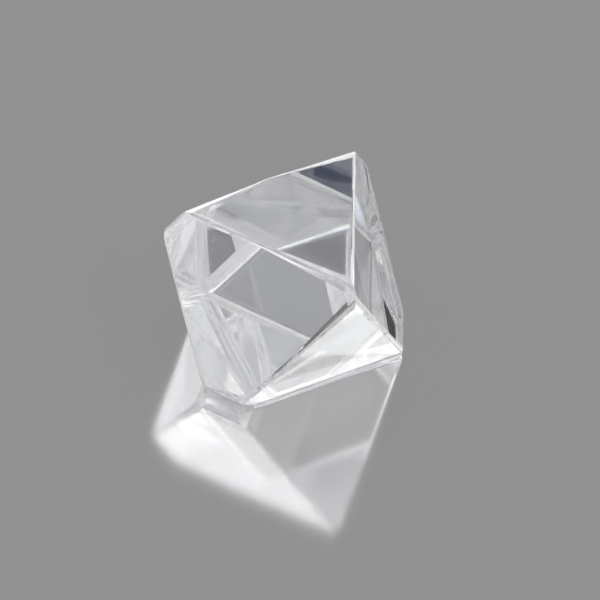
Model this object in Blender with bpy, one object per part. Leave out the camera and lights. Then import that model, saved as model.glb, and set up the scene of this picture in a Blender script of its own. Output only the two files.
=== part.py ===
"""A rough diamond: one clear octahedral crystal lying on one of its eight flat faces.

The six corners of the octahedron are lettered A to F.  A, B and C are the corners of the
level upper face, and D, E and F those of the face that the stone lies on.  A is opposite F,
C is opposite D and B is opposite E.  Every face has the exact angle of an octahedron, but
the faces lie at unequal distances from the centre, so each corner is a short ridge.

The crystal grew in thin layers.  Each layer is a whole crystal shape: the farther out its
faces lie, the farther its edges and corners are cut back.  Their union is one solid whose
faces step down to narrow tapered bands along the edges.
"""
import math

import bmesh
import bpy
from mathutils import Matrix, Vector

NAME = "rough_diamond"
MM = 0.001

# Direction of each corner in the crystal's own axes.
CORNERS = {
    "A": Vector((1, 0, 0)),
    "B": Vector((0, 0, 1)),
    "C": Vector((0, 1, 0)),
    "D": Vector((0, -1, 0)),
    "E": Vector((0, 0, -1)),
    "F": Vector((-1, 0, 0)),
}

# Distance of each finished face from the crystal's centre.
FACE_DISTANCE = {
    "ABC": 1.793 * MM,
    "ABD": 1.980 * MM,
    "ACE": 1.673 * MM,
    "ADE": 2.141 * MM,
    "BCF": 1.566 * MM,
    "BDF": 2.275 * MM,
    "CEF": 2.264 * MM,
    "DEF": 1.857 * MM,
}

# Half width of the stepped band along each edge, at its first and at its second corner.
EDGE_BAND = {
    "AB": (0.155 * MM, 0.070 * MM),
    "AC": (0.052 * MM, 0.048 * MM),
    "AD": (0.095 * MM, 0.055 * MM),
    "AE": (0.090 * MM, 0.060 * MM),
    "BC": (0.080 * MM, 0.120 * MM),
    "BD": (0.050 * MM, 0.080 * MM),
    "CE": (0.055 * MM, 0.070 * MM),
    "DE": (0.060 * MM, 0.065 * MM),
    "BF": (0.090 * MM, 0.080 * MM),
    "CF": (0.145 * MM, 0.140 * MM),
    "DF": (0.060 * MM, 0.055 * MM),
    "EF": (0.055 * MM, 0.130 * MM),
}

# How far each corner ridge is worn back.
CORNER_WEAR = {
    "A": 0.050 * MM,
    "B": 0.120 * MM,
    "C": 0.050 * MM,
    "D": 0.230 * MM,
    "E": 0.080 * MM,
    "F": 0.100 * MM,
}

LAYERS = 3
LAYER_THICKNESS = 0.006 * MM

# Half the angle by which two neighbouring faces turn away from each other.
BAND_SLOPE = math.acos(1 / 3) / 2

# The rough block that the planes cut down.
BLOCK_SIZE = 14.0 * MM


def face_normal(face):
    """Outward normal of the face between three lettered corners."""
    return sum((CORNERS[letter] for letter in face), Vector()).normalized()


def cut(bm, point, normal):
    """Cut away everything beyond a plane and close the solid again."""
    geometry = bm.verts[:] + bm.edges[:] + bm.faces[:]
    result = bmesh.ops.bisect_plane(
        bm, geom=geometry, plane_co=point, plane_no=normal, dist=1e-9, clear_outer=True
    )
    rim = [item for item in result["geom_cut"] if isinstance(item, bmesh.types.BMEdge)]
    if rim:
        bmesh.ops.contextual_create(bm, geom=rim)


def octahedron(sink):
    """The sharp crystal, with every face lowered by the same amount."""
    bm = bmesh.new()
    bmesh.ops.create_cube(bm, size=BLOCK_SIZE)
    for face, distance in FACE_DISTANCE.items():
        normal = face_normal(face)
        cut(bm, normal * (distance - sink), normal)
    return bm


def faces_at(edge):
    """Names of the two faces that meet along an edge."""
    return [face for face in FACE_DISTANCE if set(edge) <= set(face)]


def edge_ends(bm, edge, sink):
    """End points of an edge of the sharp crystal, in the order of its two letters."""
    on_edge = []
    for vert in bm.verts:
        gaps = (
            abs(vert.co.dot(face_normal(face)) - (FACE_DISTANCE[face] - sink))
            for face in faces_at(edge)
        )
        if max(gaps) < 1e-7:
            on_edge.append(vert.co.copy())
    first = CORNERS[edge[0]]
    on_edge.sort(key=lambda point: point.dot(first))
    return on_edge[-1], on_edge[0]


def band_plane(bm, edge, sink, share):
    """Plane that cuts an edge back by a share of its band, tapering along the edge."""
    outward = sum((face_normal(face) for face in faces_at(edge)), Vector()).normalized()
    ends = []
    for point, half_width in zip(edge_ends(bm, edge, sink), EDGE_BAND[edge]):
        ends.append(point - outward * half_width * share * math.tan(BAND_SLOPE))
    along = (ends[1] - ends[0]).normalized()
    return ends[0], (outward - along * outward.dot(along)).normalized()


def growth_layer(index):
    """One layer of the crystal, from 0 (innermost faces, sharpest edges) outward."""
    sink = (LAYERS - 1 - index) * LAYER_THICKNESS
    share = (index + 1) / LAYERS
    bm = octahedron(sink)
    planes = [band_plane(bm, edge, sink, share) for edge in EDGE_BAND]
    for letter, wear in CORNER_WEAR.items():
        outward = CORNERS[letter]
        tip = max(vert.co.dot(outward) for vert in bm.verts)
        planes.append((outward * (tip - wear * share), outward))
    for point, normal in planes:
        cut(bm, point, normal)
    bmesh.ops.recalc_face_normals(bm, faces=bm.faces[:])
    return bm


def lay_down(bm):
    """Turn the crystal to lie on face DEF, with edge AC running along +Y."""
    up = face_normal("ABC")
    away = (CORNERS["C"] - CORNERS["A"]).normalized()
    right = away.cross(up)
    bmesh.ops.transform(bm, matrix=Matrix((right, away, up)).to_4x4(), verts=bm.verts[:])


def new_object(name, bm, collection):
    """Turn a bmesh into an object in a collection."""
    mesh = bpy.data.meshes.new(name)
    bm.to_mesh(mesh)
    bm.free()
    obj = bpy.data.objects.new(name, mesh)
    collection.objects.link(obj)
    return obj


def new_collection(name):
    """A collection linked to the scene."""
    collection = bpy.data.collections.new(name)
    bpy.context.scene.collection.children.link(collection)
    return collection


def join_layer(stone, layer):
    """Unite a further layer with the stone, and keep the layer as a hidden helper."""
    union = stone.modifiers.new(layer.name, "BOOLEAN")
    union.operation = "UNION"
    union.solver = "EXACT"
    union.object = layer
    layer.hide_render = True
    layer.display_type = "WIRE"


def diamond_material():
    """Clear colourless diamond."""
    material = bpy.data.materials.new("diamond")
    material.use_nodes = True
    shader = material.node_tree.nodes["Principled BSDF"]
    shader.inputs["Base Color"].default_value = (0.97, 0.975, 0.98, 1.0)
    shader.inputs["Metallic"].default_value = 0.0
    shader.inputs["Roughness"].default_value = 0.0
    shader.inputs["IOR"].default_value = 2.417
    shader.inputs["Transmission Weight"].default_value = 1.0
    return material


def origin_offset(layers):
    """Move that puts the bottom centre of the bounding box at the origin."""
    points = [vert.co for bm in layers for vert in bm.verts]
    low = Vector([min(point[axis] for point in points) for axis in range(3)])
    high = Vector([max(point[axis] for point in points) for axis in range(3)])
    middle = (low + high) / 2
    return Vector((-middle.x, -middle.y, -low.z))


def main():
    for obj in list(bpy.data.objects):
        bpy.data.objects.remove(obj, do_unlink=True)
    parts = new_collection(NAME)
    helpers = new_collection(NAME + "_layers")
    layers = [growth_layer(index) for index in range(LAYERS)]
    for bm in layers:
        lay_down(bm)
    offset = origin_offset(layers)
    for bm in layers:
        bmesh.ops.translate(bm, vec=offset, verts=bm.verts[:])
    stone = new_object(NAME, layers[0], parts)
    stone.data.materials.append(diamond_material())
    for index, bm in enumerate(layers[1:], start=1):
        join_layer(stone, new_object(f"layer_{index}", bm, helpers))


main()
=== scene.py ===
"""A rough diamond and its studio, laid out as a Blender add-on and run as a script.

Everything is in metres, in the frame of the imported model: +Z is up, and the stone lies on
face DEF at Z = 0.  A, B and C are the corners of its level upper face, and D, E and F those
of the face it lies on.
"""
import math

import bmesh
import bpy
from bpy.props import (
    FloatProperty,
    FloatVectorProperty,
    IntProperty,
    PointerProperty,
)
from mathutils import Matrix, Vector


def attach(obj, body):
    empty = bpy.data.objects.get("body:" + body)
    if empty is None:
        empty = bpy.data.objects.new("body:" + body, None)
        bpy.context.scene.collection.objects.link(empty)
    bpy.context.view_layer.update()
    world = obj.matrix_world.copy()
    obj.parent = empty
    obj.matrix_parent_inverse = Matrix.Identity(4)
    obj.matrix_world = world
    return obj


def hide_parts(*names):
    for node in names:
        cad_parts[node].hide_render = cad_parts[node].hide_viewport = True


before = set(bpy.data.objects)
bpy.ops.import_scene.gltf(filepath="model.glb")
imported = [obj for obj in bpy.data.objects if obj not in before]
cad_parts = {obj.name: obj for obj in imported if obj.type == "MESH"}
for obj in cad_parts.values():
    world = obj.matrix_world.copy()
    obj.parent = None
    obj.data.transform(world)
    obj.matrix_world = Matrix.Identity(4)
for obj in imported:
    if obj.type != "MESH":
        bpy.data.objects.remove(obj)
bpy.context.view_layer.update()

bl_info = {
    "name": "Rough Diamond",
    "version": (1, 0, 0),
    "blender": (4, 5, 0),
    "location": "3D View > Sidebar > Rough Diamond",
    "description": "Grows an octahedral diamond crystal, etches its faces and lights it",
    "category": "Add Mesh",
}

MM = 0.001
CAD_NODE = "rough_diamond"

# The crystal's own axes in the frame: the upper face is level and edge AC runs along +Y.
CRYSTAL_TO_FRAME = Matrix((
    Vector((1, 1, -2)).normalized(),
    Vector((-1, 1, 0)).normalized(),
    Vector((1, 1, 1)).normalized(),
))

CORNERS = {
    "A": CRYSTAL_TO_FRAME @ Vector((1, 0, 0)),
    "B": CRYSTAL_TO_FRAME @ Vector((0, 0, 1)),
    "C": CRYSTAL_TO_FRAME @ Vector((0, 1, 0)),
    "D": CRYSTAL_TO_FRAME @ Vector((0, -1, 0)),
    "E": CRYSTAL_TO_FRAME @ Vector((0, 0, -1)),
    "F": CRYSTAL_TO_FRAME @ Vector((-1, 0, 0)),
}

FACES = ("ABC", "ABD", "ACE", "ADE", "BCF", "BDF", "CEF", "DEF")

# Width of the rounded band on either side of each edge, at equal stretches from its first
# corner to its second.  The middle one of three widths narrows or widens the band halfway.
EDGE_BAND = {
    "AB": (0.250 * MM, 0.070 * MM, 0.150 * MM),
    "AC": (0.075 * MM, 0.065 * MM),
    "AD": (0.200 * MM, 0.075 * MM, 0.110 * MM),
    "AE": (0.160 * MM, 0.080 * MM, 0.100 * MM),
    "BC": (0.540 * MM, 0.055 * MM, 0.290 * MM),
    "BD": (0.065 * MM, 0.070 * MM, 0.205 * MM),
    "CE": (0.150 * MM, 0.070 * MM, 0.100 * MM),
    "DE": (0.090 * MM, 0.130 * MM),
    "BF": (0.160 * MM, 0.140 * MM),
    "CF": (0.260 * MM, 0.260 * MM),
    "DF": (0.095 * MM, 0.085 * MM),
    "EF": (0.085 * MM, 0.240 * MM),
}

# Radius of the ball that each corner is rounded to.
CORNER_RADIUS = {
    "A": 0.080 * MM,
    "B": 0.315 * MM,
    "C": 0.100 * MM,
    "D": 0.510 * MM,
    "E": 0.170 * MM,
    "F": 0.180 * MM,
}

# How frosted each edge band is, beside the frostiest.
EDGE_FROST = {
    "AB": 0.1, "AC": 0.12, "AD": 0.06, "AE": 0.06, "BC": 0.4, "BD": 1.0,
    "CE": 0.31, "DE": 0.35, "BF": 1.0, "CF": 0.5, "DF": 1.0, "EF": 1.0,
}

# How frosted the faces are, beside the frostiest band; the others are clear.
FACE_FROST = {"BDF": 0.10, "BCF": 0.02}

# How frosted the rounded corners are.
CORNER_FROST = 0.08

# Tilt of the small flats that round each edge, in degrees: few on the crisp edges that meet
# in corner A, many on the others.
CRISP_TILTS = {
    "AB": (-20, 0, 20),
    "AC": (-20, 0, 20),
    "AD": (-20, 0, 10, 20),
    "AE": (-20, 0, 20),
}
BAND_TILTS = (-30, -20, -10, 0, 10, 20, 30)

# Rings of small flats that round a corner: tilt from its axis, number, and turn of the first.
CORNER_RINGS = ((0, 1, 0), (13, 4, 0), (26, 8, 0), (39, 4, 45))

# Flats up to this far from a corner's axis belong to the corner, the others to an edge.
CORNER_REACH = math.radians(42)

# Flats frostier than this, and those of the corners, are shaded as one rounded surface where
# they meet at less than the crease angle.
ROUNDED_FROST = 0.3
CREASE = math.radians(15)

# Half the angle by which two neighbouring faces turn away from each other.
BAND_SLOPE = math.acos(1 / 3) / 2

# The rough block that the planes cut down.
BLOCK_SIZE = 14.0 * MM

# Slack in cutting, and in telling whether a point lies on a plane or a flat in a face.
CUT_SLACK = 1e-9
PLANE_SLACK = 1e-7
FACE_SLACK = 2e-7
SAME_NORMAL = 0.9999

# Growth lines per metre, along and across a band, and clouds per metre in the faces' gloss.
LINE_SCALE = (0.25 / MM, 22.0 / MM, 1.0)
CLOUD_SCALE = 0.9 / MM
NOISE_DETAIL = 3.0
LINE_ROUGHNESS = 0.6

# The part of each noise that is used, and how far it swings the roughness down and up.
LINE_RANGE = (0.35, 0.65)
LINE_SWING = (0.4, 1.6)
CLOUD_RANGE = (0.35, 0.7)
CLOUD_SWING = (0.5, 1.5)

# Only flats less frosted than this are etched.  The pits have a frost of their own.
ETCHED_FROST = 0.05
PIT_FROST = 0.6

# How thickly places for pits are scattered before those that lie too close are dropped, and
# how the pits' sizes are spread: many small ones, down to this share of the largest.
PIT_TRIES = 3.0
PIT_RARITY = 2.5
SMALLEST_PIT = 0.25

# Film of air between the stone's lower face and the floor, and the floor's finish.
AIR_GAP = 0.004 * MM
FLOOR_ROUGHNESS = 0.12

# Width of the camera's sensor in millimetres, and its near and far limits in metres.
SENSOR_WIDTH = 36.0
CLIP_RANGE = (0.01, 2.0)

MAX_BOUNCES = 64
GLOSSY_BOUNCES = 56
TRANSMISSION_BOUNCES = 40

# Soft patches on the studio dome: azimuth (0 is +Y, 90 is +X), elevation, half width,
# softness of the rim (all in degrees) and radiance.
DOME_PATCHES = {
    "backdrop": (8, 42, 22, 6, (0.302, 0.302, 0.304)),
    "strip shade": (29, 34, 4, 3, (0.07, 0.07, 0.075)),
    "back left card": (-44, 46, 11, 3, (0.02, 0.02, 0.022)),
    "back low card": (-42, 13, 7, 3, (0.03, 0.03, 0.03)),
    "back low panel": (-37, 1, 5, 3, (0.55, 0.60, 0.72)),
    "back card": (-20, 27, 5, 3, (0.03, 0.03, 0.03)),
    "high card": (82, 48, 7, 3, (0.03, 0.03, 0.03)),
    "back left light": (-33, 32, 3, 3, (1.7, 1.7, 1.72)),
    "front card": (-168, 38, 4, 3, (0.02, 0.02, 0.02)),
    "side card": (58, 20, 5, 3, (0.05, 0.05, 0.05)),
    "side light": (69, 21, 3, 2, (2.2, 2.2, 2.2)),
    "window shade": (1.5, 28.5, 3.5, 3, (0.10, 0.10, 0.105)),
    "low light": (-7, 9, 7, 4, (1.6, 1.6, 1.6)),
    "side strip": (43, 8, 5, 4, (1.8, 1.8, 1.8)),
    "key softbox": (66, 66, 4, 3, (2.6, 2.65, 2.65)),
    "blue panel": (43, 70, 3, 3, (0.85, 0.97, 1.30)),
    "front softbox": (114, 49.5, 3.5, 4, (3.1, 3.1, 3.1)),
    "front wall": (-161, 28, 5, 4, (0.25, 0.25, 0.26)),
    "front low card": (-152, 20, 4, 3, (0.03, 0.03, 0.03)),
    "side high card": (127, 66, 5, 3, (0.03, 0.03, 0.03)),
    "top softbox": (-57, 72.5, 6, 4, (2.3, 2.3, 2.3)),
    "left wall": (-121, 30, 12, 6, (0.48, 0.49, 0.51)),
    "left softbox": (-98, 19, 7, 4, (0.72, 0.73, 0.76)),
    "low wall": (-130, 7, 9, 5, (0.58, 0.59, 0.61)),
    "right wall": (140, 9, 8, 4, (1.60, 1.60, 1.56)),
    "side wall": (129, 20, 7, 3, (0.52, 0.52, 0.53)),
    "low left light": (-74, 7, 4, 3, (1.40, 1.40, 1.40)),
    "camera shade": (168, 50, 11, 4, (0.03, 0.03, 0.035)),
    "black card": (-109, 57, 11, 3, (0.004, 0.014, 0.05)),
}


# ---------------------------------------------------------------- settings


class StoneSettings(bpy.types.PropertyGroup):
    """Growth and clearness of the crystal."""

    layers: IntProperty(
        name="Growth layers",
        description="How many steps the edge bands have",
        default=4, min=1, max=12,
    )
    layer_thickness: FloatProperty(
        name="Layer thickness",
        description="Height of one growth step",
        default=0.004 * MM, precision=6, subtype="DISTANCE", unit="LENGTH",
    )
    core_rounding: FloatProperty(
        name="Core rounding",
        description="How rounded the innermost layer is, beside the outermost",
        default=0.64, min=0.1, max=1.0, subtype="FACTOR",
    )
    ior: FloatProperty(
        name="Index of refraction",
        description="How strongly the diamond bends light",
        default=2.417, min=1.0, max=3.0,
    )
    body_color: FloatVectorProperty(
        name="Body colour",
        description="Colour of the clear diamond",
        default=(0.985, 0.99, 1.0), size=3, subtype="COLOR", min=0.0, max=1.0,
    )
    face_roughness: FloatProperty(
        name="Face roughness",
        description="Haze of the flat faces",
        default=0.018, min=0.0, max=1.0, subtype="FACTOR",
    )
    band_roughness: FloatProperty(
        name="Band roughness",
        description="Frost of the worn edge bands",
        default=0.17, min=0.0, max=1.0, subtype="FACTOR",
    )
    line_depth: FloatProperty(
        name="Line depth",
        description="Depth of the fine growth lines in the edge bands",
        default=0.009 * MM, precision=6, subtype="DISTANCE", unit="LENGTH",
    )


class PitSettings(bpy.types.PropertyGroup):
    """Small triangular etch pits on the faces."""

    spacing: FloatProperty(
        name="Pit spacing",
        description="Least distance between two pits",
        default=0.80 * MM, precision=6, subtype="DISTANCE", unit="LENGTH",
    )
    width: FloatProperty(
        name="Pit width",
        description="Diameter of the largest pit at the surface",
        default=0.055 * MM, precision=6, subtype="DISTANCE", unit="LENGTH",
    )
    depth: FloatProperty(
        name="Pit depth",
        description="Depth of the largest pit",
        default=0.012 * MM, precision=6, subtype="DISTANCE", unit="LENGTH",
    )
    seed: IntProperty(
        name="Pit seed",
        description="Choice of the pits' places",
        default=4,
    )


class StageSettings(bpy.types.PropertyGroup):
    """Floor, dome and camera."""

    floor_size: FloatProperty(
        name="Floor size",
        description="Length of a side of the floor",
        default=0.30, subtype="DISTANCE", unit="LENGTH",
    )
    floor_color: FloatVectorProperty(
        name="Floor colour",
        description="Colour of the polished floor",
        default=(0.86, 0.86, 0.865), size=3, subtype="COLOR", min=0.0, max=1.0,
    )
    floor_polish: FloatProperty(
        name="Floor polish",
        description="Share of the floor that mirrors",
        default=0.93, min=0.0, max=1.0, subtype="FACTOR",
    )
    dome_radiance: FloatProperty(
        name="Dome light",
        description="Radiance of the white dome",
        default=0.91, min=0.0,
    )
    dome_color: FloatVectorProperty(
        name="Dome colour",
        description="Colour of the white dome",
        default=(1.0, 1.0, 1.0), size=3, subtype="COLOR", min=0.0, max=1.0,
    )
    look_at: FloatVectorProperty(
        name="Look at",
        description="Point that the camera looks at",
        default=(0.3520 * MM, -0.3596 * MM, 1.3830 * MM), size=3, precision=6,
        subtype="TRANSLATION", unit="LENGTH",
    )
    distance: FloatProperty(
        name="Camera distance",
        description="Distance of the camera from the point it looks at",
        default=173.66 * MM, subtype="DISTANCE", unit="LENGTH",
    )
    azimuth: FloatProperty(
        name="Camera azimuth",
        description="Turn of the viewing direction from +Y towards +X",
        default=math.radians(2.07), subtype="ANGLE", unit="ROTATION",
    )
    elevation: FloatProperty(
        name="Camera elevation",
        description="Height of the camera above the horizon",
        default=math.radians(43.73), subtype="ANGLE", unit="ROTATION",
    )
    roll: FloatProperty(
        name="Camera roll",
        description="Turn of the camera about its own axis",
        default=math.radians(4.18), subtype="ANGLE", unit="ROTATION",
    )
    focal_length: FloatProperty(
        name="Focal length",
        description="Focal length of the macro lens, in millimetres",
        default=500.0, min=10.0,
    )


# ---------------------------------------------------------------- shared helpers


def cad_vertices():
    """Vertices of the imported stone."""
    return [vert.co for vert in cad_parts[CAD_NODE].data.vertices]


def new_object(name, mesh):
    """An object for a mesh, linked to the scene at the origin."""
    obj = bpy.data.objects.new(name, mesh)
    bpy.context.scene.collection.objects.link(obj)
    return obj


def object_from_bmesh(name, bm):
    """Turn a bmesh into an object."""
    mesh = bpy.data.meshes.new(name)
    bm.to_mesh(mesh)
    bm.free()
    return new_object(name, mesh)


def bake_modifiers(obj):
    """Replace an object's mesh by its evaluated one and drop its modifiers."""
    graph = bpy.context.evaluated_depsgraph_get()
    mesh = bpy.data.meshes.new_from_object(obj.evaluated_get(graph))
    obj.modifiers.clear()
    obj.data = mesh
    mesh.name = obj.name


def boolean(obj, other, operation):
    """Unite an object with another, or cut it by another, and remove that one."""
    modifier = obj.modifiers.new(operation, "BOOLEAN")
    modifier.operation = operation
    modifier.solver = "EXACT"
    modifier.object = other
    bake_modifiers(obj)
    bpy.data.objects.remove(other, do_unlink=True)


# ---------------------------------------------------------------- crystal


def face_normal(face):
    """Outward normal of the face between three lettered corners."""
    return sum((CORNERS[letter] for letter in face), Vector()).normalized()


def face_distances():
    """Distance of each face plane from the frame's origin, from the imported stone."""
    points = cad_vertices()
    return {face: max(point.dot(face_normal(face)) for point in points) for face in FACES}


def cut(bm, point, normal):
    """Cut away everything beyond a plane and close the solid again."""
    geometry = bm.verts[:] + bm.edges[:] + bm.faces[:]
    result = bmesh.ops.bisect_plane(
        bm, geom=geometry, plane_co=point, plane_no=normal, dist=CUT_SLACK, clear_outer=True
    )
    rim = [item for item in result["geom_cut"] if isinstance(item, bmesh.types.BMEdge)]
    if rim:
        bmesh.ops.contextual_create(bm, geom=rim)


def octahedron(distances, sink):
    """The sharp crystal, with every face lowered by the same amount."""
    bm = bmesh.new()
    bmesh.ops.create_cube(bm, size=BLOCK_SIZE)
    for face, distance in distances.items():
        normal = face_normal(face)
        cut(bm, normal * (distance - sink), normal)
    return bm


def faces_at(edge):
    """Names of the two faces that meet along an edge."""
    return [face for face in FACES if set(edge) <= set(face)]


def edge_ends(bm, distances, edge, sink):
    """End points of an edge of the sharp crystal, in the order of its two letters."""
    on_edge = []
    for vert in bm.verts:
        gaps = (
            abs(vert.co.dot(face_normal(face)) - (distances[face] - sink))
            for face in faces_at(edge)
        )
        if max(gaps) < PLANE_SLACK:
            on_edge.append(vert.co.copy())
    first = CORNERS[edge[0]]
    on_edge.sort(key=lambda point: point.dot(first))
    return on_edge[-1], on_edge[0]


def band_planes(bm, distances, edge, sink, share):
    """Planes that round an edge by a share of its band, tapering along the edge."""
    outward = sum((face_normal(face) for face in faces_at(edge)), Vector()).normalized()
    first, last = edge_ends(bm, distances, edge, sink)
    along = (last - first).normalized()
    widths = EDGE_BAND[edge]
    planes = []
    for tilt in CRISP_TILTS.get(edge, BAND_TILTS):
        normal = Matrix.Rotation(math.radians(tilt), 3, along) @ outward
        touch = []
        for index, width in enumerate(widths):
            point = first.lerp(last, index / (len(widths) - 1))
            radius = width * share / math.tan(BAND_SLOPE)
            touch.append(point - outward * radius / math.cos(BAND_SLOPE) + normal * radius)
        for start, end in zip(touch, touch[1:]):
            run = (end - start).normalized()
            planes.append((start, (normal - run * normal.dot(run)).normalized()))
    return planes


def corner_planes(bm, letter, share):
    """Planes that round a corner as a ball would, in rings around its axis."""
    axis = CORNERS[letter]
    side = next(other for other in CORNERS.values() if abs(other.dot(axis)) < 0.5)
    planes = []
    for tilt, count, turn in CORNER_RINGS:
        lean = math.radians(tilt)
        wear = CORNER_RADIUS[letter] * share * (math.sqrt(3) * math.cos(lean) - 1)
        for step in range(count):
            spin = Matrix.Rotation(math.radians(turn + 360 * step / count), 3, axis)
            outward = axis * math.cos(lean) + spin @ side * math.sin(lean)
            reach = max(vert.co.dot(outward) for vert in bm.verts)
            planes.append((outward * (reach - wear), outward))
    return planes


def growth_layer(distances, index, settings):
    """One layer of the crystal, from 0 (innermost faces, sharpest edges) outward."""
    sink = (settings.layers - 1 - index) * settings.layer_thickness
    core = settings.core_rounding
    share = core + (1 - core) * index / max(settings.layers - 1, 1)
    bm = octahedron(distances, sink)
    planes = []
    for edge in EDGE_BAND:
        planes += band_planes(bm, distances, edge, sink, share)
    for letter in CORNERS:
        planes += corner_planes(bm, letter, share)
    for point, normal in planes:
        cut(bm, point, normal)
    bmesh.ops.recalc_face_normals(bm, faces=bm.faces[:])
    return bm


def corner_of(normal):
    """Corner that a flat with this normal rounds, or None."""
    letter = max(CORNERS, key=lambda name: normal.dot(CORNERS[name]))
    return letter if normal.dot(CORNERS[letter]) > math.cos(CORNER_REACH) else None


def face_of(polygon, distances):
    """Finished face that a polygon lies in, or None."""
    for face, distance in distances.items():
        normal = face_normal(face)
        level = abs(polygon.center.dot(normal) - distance) < FACE_SLACK
        if level and polygon.normal.dot(normal) > SAME_NORMAL:
            return face
    return None


def map_bands(mesh, distances):
    """Mark the frost of every polygon, and unroll the growth lines' pattern over it.

    The lines run along the edge in an edge band, and in rings round a corner.
    """
    sharp = octahedron(distances, 0.0)
    edges = {edge: edge_ends(sharp, distances, edge, 0.0) for edge in EDGE_BAND}
    sharp.free()
    worn = mesh.attributes.new("worn", "FLOAT", "FACE")
    lines = mesh.uv_layers.new(name="band_lines")
    for polygon in mesh.polygons:
        edge = min(edges, key=lambda name: gap_to(polygon.center, *edges[name]))
        start, end = edges[edge]
        along = (end - start).normalized()
        across = (face_normal(faces_at(edge)[0]) - face_normal(faces_at(edge)[1])).normalized()
        frost = EDGE_FROST[edge]
        face, corner = face_of(polygon, distances), corner_of(polygon.normal)
        if face:
            frost = FACE_FROST.get(face, 0.0)
        elif corner:
            frost, across = CORNER_FROST, CORNERS[corner]
            along = across.orthogonal().normalized()
        worn.data[polygon.index].value = frost
        for loop in polygon.loop_indices:
            point = mesh.vertices[mesh.loops[loop].vertex_index].co - start
            lines.data[loop].uv = (point.dot(along), point.dot(across))


def shade_bands(mesh):
    """Shade frosted bands and corners as rounded surfaces, and leave the rest crisp."""
    bm = bmesh.new()
    bm.from_mesh(mesh)
    worn = bm.faces.layers.float["worn"]
    for face in bm.faces:
        face.smooth = face[worn] > ROUNDED_FROST or corner_of(face.normal) is not None
    for edge in bm.edges:
        soft = all(face.smooth for face in edge.link_faces)
        edge.smooth = soft and edge.calc_face_angle(math.pi) < CREASE
    bm.to_mesh(mesh)
    bm.free()


def gap_to(point, start, end):
    """Distance of a point from a straight stretch."""
    run = end - start
    share = min(max((point - start).dot(run) / run.length_squared, 0.0), 1.0)
    return (point - start - run * share).length


def node(tree, kind, values=None, links=None):
    """Add a node and fill its inputs with numbers or with links."""
    made = tree.nodes.new(kind)
    for key, value in (values or {}).items():
        if isinstance(key, str) and hasattr(made, key) and key not in made.inputs:
            setattr(made, key, value)
        else:
            made.inputs[key].default_value = value
    for key, socket in (links or {}).items():
        tree.links.new(socket, made.inputs[key])
    return made


def diamond_material(settings):
    """Clear colourless diamond, polished by nature on its faces and frosted in its bands."""
    material = bpy.data.materials.new("clear_diamond")
    material.use_nodes = True
    tree = material.node_tree
    shader = tree.nodes["Principled BSDF"]
    shader.inputs["Base Color"].default_value = (*settings.body_color, 1.0)
    shader.inputs["Metallic"].default_value = 0.0
    shader.inputs["IOR"].default_value = settings.ior
    shader.inputs["Transmission Weight"].default_value = 1.0

    place = node(tree, "ShaderNodeTexCoord")
    worn = node(tree, "ShaderNodeAttribute", {"attribute_name": "worn"})
    band = node(tree, "ShaderNodeUVMap", {"uv_map": "band_lines"})
    stretch = node(
        tree, "ShaderNodeMapping",
        {"Scale": LINE_SCALE}, {"Vector": band.outputs["UV"]},
    )
    streaks = node(
        tree, "ShaderNodeTexNoise",
        {"Scale": 1.0, "Detail": NOISE_DETAIL, "Roughness": LINE_ROUGHNESS},
        {"Vector": stretch.outputs["Vector"]},
    )
    clouds = node(
        tree, "ShaderNodeTexNoise",
        {"Scale": CLOUD_SCALE, "Detail": NOISE_DETAIL}, {"Vector": place.outputs["Object"]},
    )
    face_gloss = node(
        tree, "ShaderNodeMapRange",
        {"From Min": CLOUD_RANGE[0], "From Max": CLOUD_RANGE[1],
         "To Min": settings.face_roughness * CLOUD_SWING[0],
         "To Max": settings.face_roughness * CLOUD_SWING[1]},
        {"Value": clouds.outputs["Fac"]},
    )
    band_gloss = node(
        tree, "ShaderNodeMapRange",
        {"From Min": LINE_RANGE[0], "From Max": LINE_RANGE[1],
         "To Min": settings.band_roughness * LINE_SWING[0],
         "To Max": settings.band_roughness * LINE_SWING[1]},
        {"Value": streaks.outputs["Fac"]},
    )
    gloss = node(
        tree, "ShaderNodeMix", {"data_type": "FLOAT"},
        {"Factor": worn.outputs["Fac"], "A": face_gloss.outputs["Result"],
         "B": band_gloss.outputs["Result"]},
    )
    tree.links.new(gloss.outputs["Result"], shader.inputs["Roughness"])

    height = node(
        tree, "ShaderNodeMath", {"operation": "MULTIPLY"},
        {0: streaks.outputs["Fac"], 1: worn.outputs["Fac"]},
    )
    bump = node(
        tree, "ShaderNodeBump",
        {"Strength": 1.0, "Distance": settings.line_depth}, {"Height": height.outputs["Value"]},
    )
    tree.links.new(bump.outputs["Normal"], shader.inputs["Normal"])
    return material


class DIAMOND_OT_grow_stone(bpy.types.Operator):
    """Grow the crystal layer by layer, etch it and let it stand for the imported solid"""

    bl_idname = "diamond.grow_stone"
    bl_label = "Grow stone"

    def execute(self, context):
        settings = context.scene.diamond_stone
        distances = face_distances()
        stone = object_from_bmesh("diamond_crystal", growth_layer(distances, 0, settings))
        for index in range(1, settings.layers):
            layer = object_from_bmesh("layer", growth_layer(distances, index, settings))
            boolean(stone, layer, "UNION")
        map_bands(stone.data, distances)
        stone.data.materials.clear()
        stone.data.materials.append(diamond_material(settings))
        etch(stone, context.scene.diamond_pits)
        shade_bands(stone.data)
        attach(stone, "root")
        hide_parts(CAD_NODE)
        return {"FINISHED"}


# ---------------------------------------------------------------- etch pits


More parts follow.
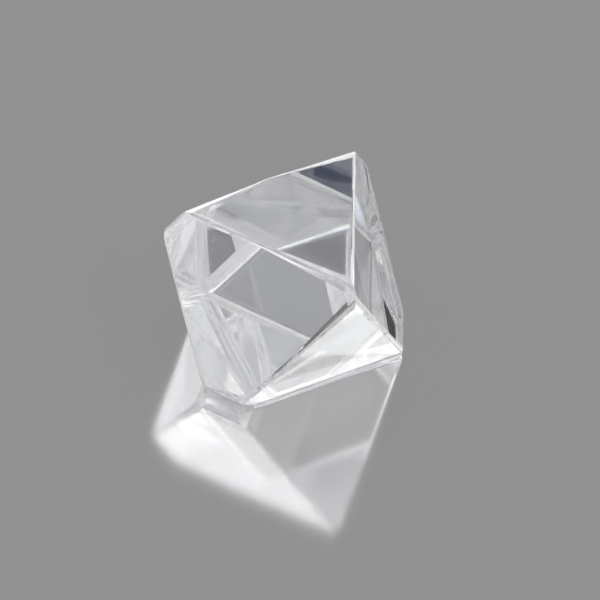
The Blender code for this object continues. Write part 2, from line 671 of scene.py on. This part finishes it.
def pit_tree():
    """Node tree that sinks three-sided pits into a crystal's flat faces.

    Nature etches them the other way round from the face: every pit's corners point at the
    middles of the face's edges.
    """
    tree = bpy.data.node_groups.new("etch_pits", "GeometryNodeTree")
    tree.interface.new_socket("Geometry", in_out="OUTPUT", socket_type="NodeSocketGeometry")
    for name, kind in (
        ("Geometry", "NodeSocketGeometry"),
        ("Spacing", "NodeSocketFloat"),
        ("Width", "NodeSocketFloat"),
        ("Depth", "NodeSocketFloat"),
        ("Seed", "NodeSocketInt"),
        ("Corner axis", "NodeSocketVector"),
        ("Material", "NodeSocketMaterial"),
    ):
        tree.interface.new_socket(name, in_out="INPUT", socket_type=kind)
    inputs = node(tree, "NodeGroupInput").outputs

    worn = node(tree, "GeometryNodeInputNamedAttribute", {"data_type": "FLOAT", "Name": "worn"})
    flat = node(
        tree, "FunctionNodeCompare",
        {"data_type": "FLOAT", "operation": "LESS_THAN", "B": ETCHED_FROST},
        {"A": worn.outputs["Attribute"]},
    )
    square = node(
        tree, "ShaderNodeMath", {"operation": "MULTIPLY"},
        {0: inputs["Spacing"], 1: inputs["Spacing"]},
    )
    density = node(
        tree, "ShaderNodeMath", {"operation": "DIVIDE", 0: PIT_TRIES},
        {1: square.outputs["Value"]},
    )
    places = node(
        tree, "GeometryNodeDistributePointsOnFaces", {"distribute_method": "POISSON"},
        {"Mesh": inputs["Geometry"], "Selection": flat.outputs["Result"],
         "Distance Min": inputs["Spacing"], "Density Max": density.outputs["Value"],
         "Seed": inputs["Seed"]},
    )

    side = node(
        tree, "ShaderNodeVectorMath", {"operation": "DOT_PRODUCT"},
        {0: places.outputs["Normal"], 1: inputs["Corner axis"]},
    )
    sign = node(tree, "ShaderNodeMath", {"operation": "SIGN"}, {0: side.outputs["Value"]})
    away = node(
        tree, "ShaderNodeMath", {"operation": "MULTIPLY", 1: -1.0}, {0: sign.outputs["Value"]}
    )
    toward = node(
        tree, "ShaderNodeVectorMath", {"operation": "SCALE"},
        {0: inputs["Corner axis"], "Scale": away.outputs["Value"]},
    )
    upright = node(
        tree, "FunctionNodeAlignRotationToVector", {"axis": "Z"},
        {"Vector": places.outputs["Normal"]},
    )
    turned = node(
        tree, "FunctionNodeAlignRotationToVector", {"axis": "X", "pivot_axis": "Z"},
        {"Rotation": upright.outputs["Rotation"], "Vector": toward.outputs["Vector"]},
    )
    chance = node(
        tree, "FunctionNodeRandomValue", {"data_type": "FLOAT"}, {"Seed": inputs["Seed"]}
    )
    rare = node(
        tree, "ShaderNodeMath", {"operation": "POWER", 1: PIT_RARITY}, {0: chance.outputs[1]}
    )
    size = node(
        tree, "ShaderNodeMapRange", {"To Min": SMALLEST_PIT, "To Max": 1.0},
        {"Value": rare.outputs["Value"]},
    )

    height = node(
        tree, "ShaderNodeMath", {"operation": "MULTIPLY", 1: 2.0}, {0: inputs["Depth"]}
    )
    cutter = node(
        tree, "GeometryNodeMeshCone", {"Vertices": 3, "Radius Bottom": 0.0},
        {"Radius Top": inputs["Width"], "Depth": height.outputs["Value"]},
    )
    below = node(
        tree, "ShaderNodeMath", {"operation": "MULTIPLY", 1: -1.0}, {0: inputs["Depth"]}
    )
    shift = node(tree, "ShaderNodeCombineXYZ", None, {"Z": below.outputs["Value"]})
    sunk = node(
        tree, "GeometryNodeTransform", None,
        {"Geometry": cutter.outputs["Mesh"], "Translation": shift.outputs["Vector"]},
    )
    frosted = node(
        tree, "GeometryNodeStoreNamedAttribute",
        {"data_type": "FLOAT", "domain": "FACE", "Name": "worn", "Value": PIT_FROST},
        {"Geometry": sunk.outputs["Geometry"]},
    )
    points = places.outputs["Points"]
    for name in ("worn", "band_lines"):
        cleared = node(tree, "GeometryNodeRemoveAttribute", {"Name": name}, {"Geometry": points})
        points = cleared.outputs["Geometry"]
    spread = node(
        tree, "GeometryNodeInstanceOnPoints", None,
        {"Points": points, "Instance": frosted.outputs["Geometry"],
         "Rotation": turned.outputs["Rotation"], "Scale": size.outputs["Result"]},
    )
    cutters = node(
        tree, "GeometryNodeRealizeInstances", None, {"Geometry": spread.outputs["Instances"]}
    )
    pitted = node(
        tree, "GeometryNodeMeshBoolean", {"operation": "DIFFERENCE", "solver": "EXACT"},
        {"Mesh 1": inputs["Geometry"], "Mesh 2": cutters.outputs["Geometry"]},
    )
    plain = node(
        tree, "GeometryNodeRealizeInstances", None, {"Geometry": pitted.outputs["Mesh"]}
    )
    finished = node(
        tree, "GeometryNodeSetMaterial", None,
        {"Geometry": plain.outputs["Geometry"], "Material": inputs["Material"]},
    )
    node(tree, "NodeGroupOutput", None, {"Geometry": finished.outputs["Geometry"]})
    return tree


def etch(stone, settings):
    """Sink the pits into the stone."""
    tree = pit_tree()
    modifier = stone.modifiers.new("etch_pits", "NODES")
    modifier.node_group = tree
    values = {
        "Spacing": settings.spacing,
        "Width": settings.width,
        "Depth": settings.depth,
        "Seed": settings.seed,
        "Corner axis": CORNERS["A"],
        "Material": stone.data.materials[0],
    }
    for item in tree.interface.items_tree:
        if item.in_out == "INPUT" and item.name in values:
            modifier[item.identifier] = values[item.name]
    bake_modifiers(stone)


# ---------------------------------------------------------------- stage


def floor_material(settings):
    """Plain pale polished floor."""
    material = bpy.data.materials.new("polished_floor")
    material.use_nodes = True
    shader = material.node_tree.nodes["Principled BSDF"]
    shader.inputs["Base Color"].default_value = (*settings.floor_color, 1.0)
    shader.inputs["Metallic"].default_value = settings.floor_polish
    shader.inputs["Roughness"].default_value = FLOOR_ROUGHNESS
    return material


def add_floor(settings):
    """Flat floor under the stone."""
    bm = bmesh.new()
    bmesh.ops.create_grid(bm, x_segments=1, y_segments=1, size=settings.floor_size / 2)
    bmesh.ops.translate(bm, vec=(0.0, 0.0, -AIR_GAP), verts=bm.verts[:])
    floor = object_from_bmesh("floor", bm)
    floor.data.materials.append(floor_material(settings))


def direction(azimuth, elevation):
    """Unit vector towards an azimuth (0 is +Y, 90 is +X) and an elevation, in degrees."""
    turn, lift = math.radians(azimuth), math.radians(elevation)
    flat = math.cos(lift)
    return Vector((math.sin(turn) * flat, math.cos(turn) * flat, math.sin(lift)))


def add_patch(tree, look, below, name, patch):
    """Lay one soft round patch over the dome so far."""
    azimuth, elevation, half_width, softness, color = patch
    nodes, links = tree.nodes, tree.links
    dot = nodes.new("ShaderNodeVectorMath")
    dot.operation = "DOT_PRODUCT"
    dot.label = name
    dot.inputs[1].default_value = direction(azimuth, elevation)
    links.new(look, dot.inputs[0])
    ramp = nodes.new("ShaderNodeMapRange")
    ramp.interpolation_type = "SMOOTHSTEP"
    ramp.inputs["From Min"].default_value = math.cos(math.radians(half_width + softness))
    ramp.inputs["From Max"].default_value = math.cos(math.radians(half_width))
    links.new(dot.outputs["Value"], ramp.inputs["Value"])
    mix = nodes.new("ShaderNodeMix")
    mix.data_type = "RGBA"
    mix.inputs["B"].default_value = (*color, 1.0)
    links.new(ramp.outputs["Result"], mix.inputs["Factor"])
    links.new(below, mix.inputs["A"])
    return mix.outputs["Result"]


def light_dome(settings):
    """White studio dome with its softboxes, backdrop and dark cards."""
    world = bpy.data.worlds.new("studio_dome")
    bpy.context.scene.world = world
    world.use_nodes = True
    tree = world.node_tree
    tree.nodes.clear()
    look = tree.nodes.new("ShaderNodeTexCoord").outputs["Generated"]
    plain = tree.nodes.new("ShaderNodeRGB").outputs["Color"]
    plain.default_value = (*(settings.dome_radiance * part for part in settings.dome_color), 1.0)
    color = plain
    for name, patch in DOME_PATCHES.items():
        color = add_patch(tree, look, color, name, patch)
    background = tree.nodes.new("ShaderNodeBackground")
    tree.links.new(color, background.inputs["Color"])
    output = tree.nodes.new("ShaderNodeOutputWorld")
    tree.links.new(background.outputs["Background"], output.inputs["Surface"])


def add_camera(settings):
    """Long macro lens that looks down on the stone from the front."""
    camera = bpy.data.cameras.new("camera")
    camera.lens = settings.focal_length
    camera.sensor_width = SENSOR_WIDTH
    camera.clip_start, camera.clip_end = CLIP_RANGE
    obj = new_object("camera", camera)
    turn, lift = settings.azimuth, settings.elevation
    back = -direction(math.degrees(turn), -math.degrees(lift))
    rotation = back.to_track_quat("Z", "Y").to_matrix()
    obj.matrix_world = (
        Matrix.Translation(Vector(settings.look_at) + back * settings.distance)
        @ rotation.to_4x4()
        @ Matrix.Rotation(settings.roll, 4, "Z")
    )
    bpy.context.scene.camera = obj


def light_paths():
    """Enough bounces for light that runs round inside the crystal, and plain tones."""
    scene = bpy.context.scene
    scene.cycles.max_bounces = MAX_BOUNCES
    scene.cycles.glossy_bounces = GLOSSY_BOUNCES
    scene.cycles.transmission_bounces = TRANSMISSION_BOUNCES
    scene.view_settings.view_transform = "Standard"


class DIAMOND_OT_set_stage(bpy.types.Operator):
    """Add the floor, the studio dome and the camera"""

    bl_idname = "diamond.set_stage"
    bl_label = "Set stage"

    def execute(self, context):
        settings = context.scene.diamond_stage
        add_floor(settings)
        light_dome(settings)
        add_camera(settings)
        light_paths()
        return {"FINISHED"}


# ---------------------------------------------------------------- panel and main


class DIAMOND_PT_panel(bpy.types.Panel):
    """Sidebar panel of the rough diamond"""

    bl_idname = "DIAMOND_PT_panel"
    bl_label = "Rough Diamond"
    bl_space_type = "VIEW_3D"
    bl_region_type = "UI"
    bl_category = "Rough Diamond"

    def draw(self, context):
        layout = self.layout
        for group, operator in SECTIONS:
            settings = getattr(context.scene, group)
            for name in settings.bl_rna.properties.keys():
                if name not in ("rna_type", "name"):
                    layout.prop(settings, name)
            if operator:
                layout.operator(operator)


SETTINGS = {
    "diamond_stone": StoneSettings,
    "diamond_pits": PitSettings,
    "diamond_stage": StageSettings,
}

SECTIONS = (
    ("diamond_pits", None),
    ("diamond_stone", DIAMOND_OT_grow_stone.bl_idname),
    ("diamond_stage", DIAMOND_OT_set_stage.bl_idname),
)

CLASSES = (
    *SETTINGS.values(),
    DIAMOND_OT_grow_stone,
    DIAMOND_OT_set_stage,
    DIAMOND_PT_panel,
)


def register():
    """Add the classes and their settings to Blender."""
    for cls in CLASSES:
        bpy.utils.register_class(cls)
    for name, group in SETTINGS.items():
        setattr(bpy.types.Scene, name, PointerProperty(type=group))


def unregister():
    """Take the settings and the classes away again."""
    for name in SETTINGS:
        delattr(bpy.types.Scene, name)
    for cls in reversed(CLASSES):
        bpy.utils.unregister_class(cls)


def main():
    register()
    bpy.ops.diamond.grow_stone()
    bpy.ops.diamond.set_stage()


if __name__ == "__main__":
    main()
